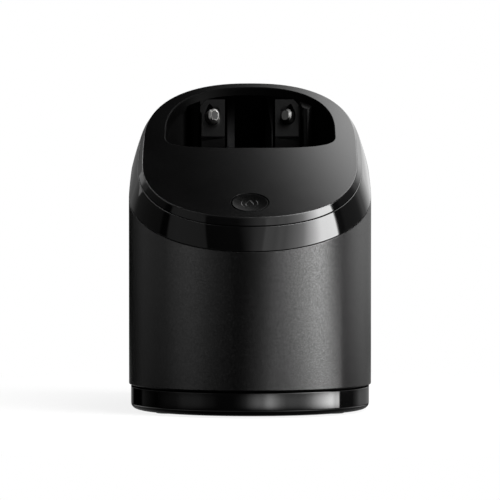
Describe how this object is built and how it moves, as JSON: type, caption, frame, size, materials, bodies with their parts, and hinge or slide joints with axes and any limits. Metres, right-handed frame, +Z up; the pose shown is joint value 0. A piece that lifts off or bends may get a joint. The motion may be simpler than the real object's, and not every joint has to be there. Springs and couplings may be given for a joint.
{
  "type": "shaver cleaning station",
  "caption": "Free-standing cleaning and charging station for an electric shaver: sloping top with a recess and sprung contacts, lifting housing over a fluid cartridge.",
  "frame": {"origin": "on the floor, below the middle of the outline", "axes": "+Z up, -Y the front with the start button, +X to the right of someone facing the front"},
  "size_m": [0.1221, 0.1388, 0.1675],
  "materials": {
    "gloss_black": "high gloss black",
    "matte_charcoal": "matt charcoal with a fine metallic grain",
    "satin_black": "satin black",
    "dark_plastic": "matt black moulding",
    "grey_plastic": "dark grey moulding",
    "black_rubber": "soft rubber",
    "steel": "plain steel",
    "nickel": "bright nickel",
    "bronze": "sintered bronze",
    "cartridge_plastic": "tinted translucent",
    "cartridge_cap": "blue grey",
    "filter_foam": "open foam",
    "clear_tube": "milky flexible tube",
    "board_green": "solder mask",
    "switch_black": "plain"
  },
  "bodies": {
    "base": {"base_tray": "gloss_black", "base_plate": "dark_plastic", "rubber_feet": "black_rubber", "base_screws": "steel", "rear_column": "grey_plastic", "rear_panel": "dark_plastic", "power_socket": "dark_plastic", "socket_pins": "nickel", "guide_rods": "steel", "mast_cap": "grey_plastic", "lift_spring_left": "steel", "lift_spring_right": "steel", "latch_strike": "steel", "cartridge_tub": "cartridge_plastic", "cartridge_lid": "cartridge_cap", "cartridge_filter": "filter_foam"},
    "housing": {"outer_shell": "matte_charcoal", "gloss_band": "gloss_black", "cover_gasket": "black_rubber", "head_cover": "satin_black", "tub_gasket": "black_rubber", "cradle_tub": "dark_plastic", "contact_block": "dark_plastic", "side_ribs": "dark_plastic", "chassis": "grey_plastic", "carriage": "grey_plastic", "slide_bushes": "bronze", "housing_screws": "steel", "pump_housing": "grey_plastic", "pump_cover": "grey_plastic", "pump_motor": "steel", "suction_tube": "clear_tube", "feed_tube": "clear_tube", "drain_tube": "clear_tube", "fan_motor": "steel", "fan_housing": "grey_plastic", "control_board": "board_green", "tact_switch": "switch_black", "button_guide": "grey_plastic", "button_spring": "steel", "contact_springs": "steel", "latch_pin": "steel", "latch_spring": "steel"},
    "start_button": {"start_button": "satin_black"},
    "lift_button": {"lift_button": "gloss_black"},
    "latch": {"latch_lever": "grey_plastic"},
    "contact_left": {"contact_pin_left": "nickel"},
    "contact_right": {"contact_pin_right": "nickel"},
    "pump_rotor": {"pump_shaft": "steel", "pump_impeller": "grey_plastic"},
    "fan_rotor": {"fan_shaft": "steel", "fan_wheel": "grey_plastic"}
  },
  "joints": [
    {"name": "housing_lift", "type": "slide", "parent": "base", "child": "housing", "axis": [0, 0, 1], "range_m": [0, 0.0425], "deforming": ["lift_spring_left", "lift_spring_right"]},
    {"name": "start_press", "type": "slide", "parent": "housing", "child": "start_button", "axis": [0, 0.4751, -0.8799], "range_m": [0, 0.0008], "stiffness_N_per_m": 1500, "springref_m": -0.0008},
    {"name": "lift_press", "type": "slide", "parent": "housing", "child": "lift_button", "axis": [0, -1, 0], "range_m": [0, 0.002], "stiffness_N_per_m": 1200, "springref_m": -0.001},
    {"name": "latch_turn", "type": "hinge", "parent": "housing", "child": "latch", "pos_m": [0, 0.06205, 0.069], "axis": [1, 0, 0], "range_deg": [0, 10.5]},
    {"name": "contact_left_press", "type": "slide", "parent": "housing", "child": "contact_left", "axis": [-0.3308, 0.9222, -0.2005], "range_m": [0, 0.0015], "stiffness_N_per_m": 800, "springref_m": -0.001},
    {"name": "contact_right_press", "type": "slide", "parent": "housing", "child": "contact_right", "axis": [0.3308, 0.9222, -0.2005], "range_m": [0, 0.0015], "stiffness_N_per_m": 800, "springref_m": -0.001},
    {"name": "pump_spin", "type": "hinge", "parent": "housing", "child": "pump_rotor", "pos_m": [-0.024, -0.02695, 0.064], "axis": [0, 0, 1], "continuous": true},
    {"name": "fan_spin", "type": "hinge", "parent": "housing", "child": "fan_rotor", "pos_m": [0.024, -0.02095, 0.089], "axis": [0, 0, 1], "continuous": true}
  ],
  "couplings": [
    {"joint": "latch_turn", "follows": "lift_press", "rad_per_m": 91}
  ]
}
